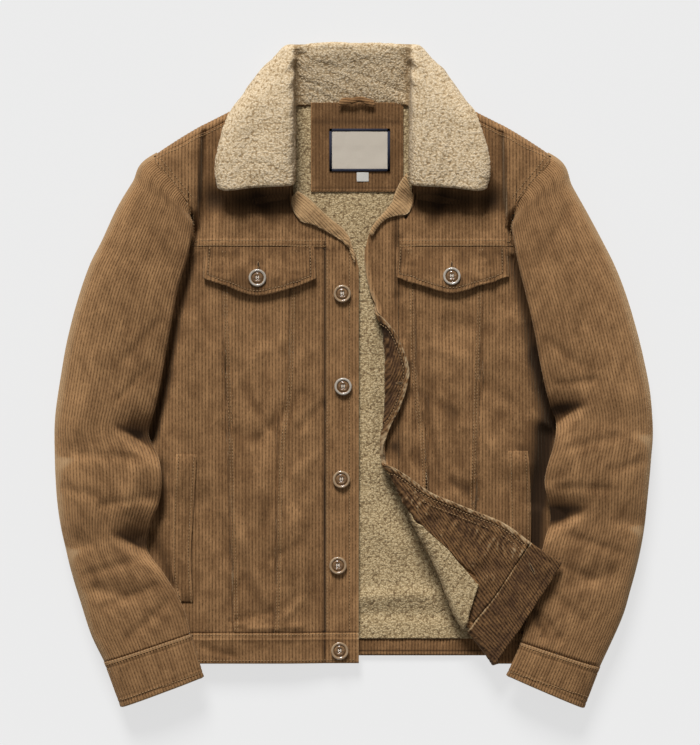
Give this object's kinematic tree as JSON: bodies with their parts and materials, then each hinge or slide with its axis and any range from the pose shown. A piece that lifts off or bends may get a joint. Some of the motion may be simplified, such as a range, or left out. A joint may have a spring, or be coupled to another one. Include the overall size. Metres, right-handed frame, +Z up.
{
  "type": "jacket",
  "caption": "Brown corduroy trucker jacket with a pile collar and lining, button front, flap pockets and one turned-back front, laid out flat.",
  "frame": {"origin": "on the surface that the jacket lies on, under the middle of its outline", "axes": "+X to the wearer's left, +Y towards the collar, +Z up out of the front"},
  "size_m": [0.7011, 0.7815, 0.0564],
  "materials": {
    "corduroy": "brown corduroy, wales down the body and along the sleeves",
    "corduroy_reverse": "lighter, finer corduroy of the facings",
    "pile_cloth": "curly cream pile",
    "horn_plastic": "mottled brown imitation horn",
    "label_cloth": "bare woven label with a dark border",
    "tab_cloth": "bare white tape"
  },
  "bodies": {
    "root": {"back_body": "corduroy", "back_hem_band": "corduroy", "back_lining": "pile_cloth", "back_yoke": "corduroy", "button_1": "horn_plastic", "button_2": "horn_plastic", "button_3": "horn_plastic", "button_4": "horn_plastic", "button_5": "horn_plastic", "collar": "pile_cloth", "flap_button_left": "horn_plastic", "flap_button_right": "horn_plastic", "hanger_loop": "corduroy", "label": "label_cloth", "left_cuff": "corduroy", "left_facing": "corduroy_reverse", "left_front_inner": "corduroy", "left_front_middle": "corduroy", "left_front_side": "corduroy", "left_front_turn": "corduroy", "left_front_yoke": "corduroy", "left_hem_band": "corduroy", "left_hem_facing": "corduroy_reverse", "left_lining": "pile_cloth", "left_neck_turn": "corduroy_reverse", "left_placket": "corduroy", "left_pocket_flap": "corduroy", "left_pocket_welt": "corduroy", "left_sleeve_top_elbow": "corduroy", "left_sleeve_top_forearm": "corduroy", "left_sleeve_top_upper": "corduroy", "left_sleeve_under_elbow": "corduroy", "left_sleeve_under_forearm": "corduroy", "left_sleeve_under_upper": "corduroy", "neck_facing": "corduroy_reverse", "right_cuff": "corduroy", "right_front_inner": "corduroy", "right_front_middle": "corduroy", "right_front_side": "corduroy", "right_front_yoke": "corduroy", "right_hem_band": "corduroy", "right_neck_turn": "corduroy_reverse", "right_placket": "corduroy", "right_pocket_flap": "corduroy", "right_pocket_welt": "corduroy", "right_sleeve_top_elbow": "corduroy", "right_sleeve_top_forearm": "corduroy", "right_sleeve_top_upper": "corduroy", "right_sleeve_under_elbow": "corduroy", "right_sleeve_under_forearm": "corduroy", "right_sleeve_under_upper": "corduroy", "size_tab": "tab_cloth"}
  },
  "joints": []
}
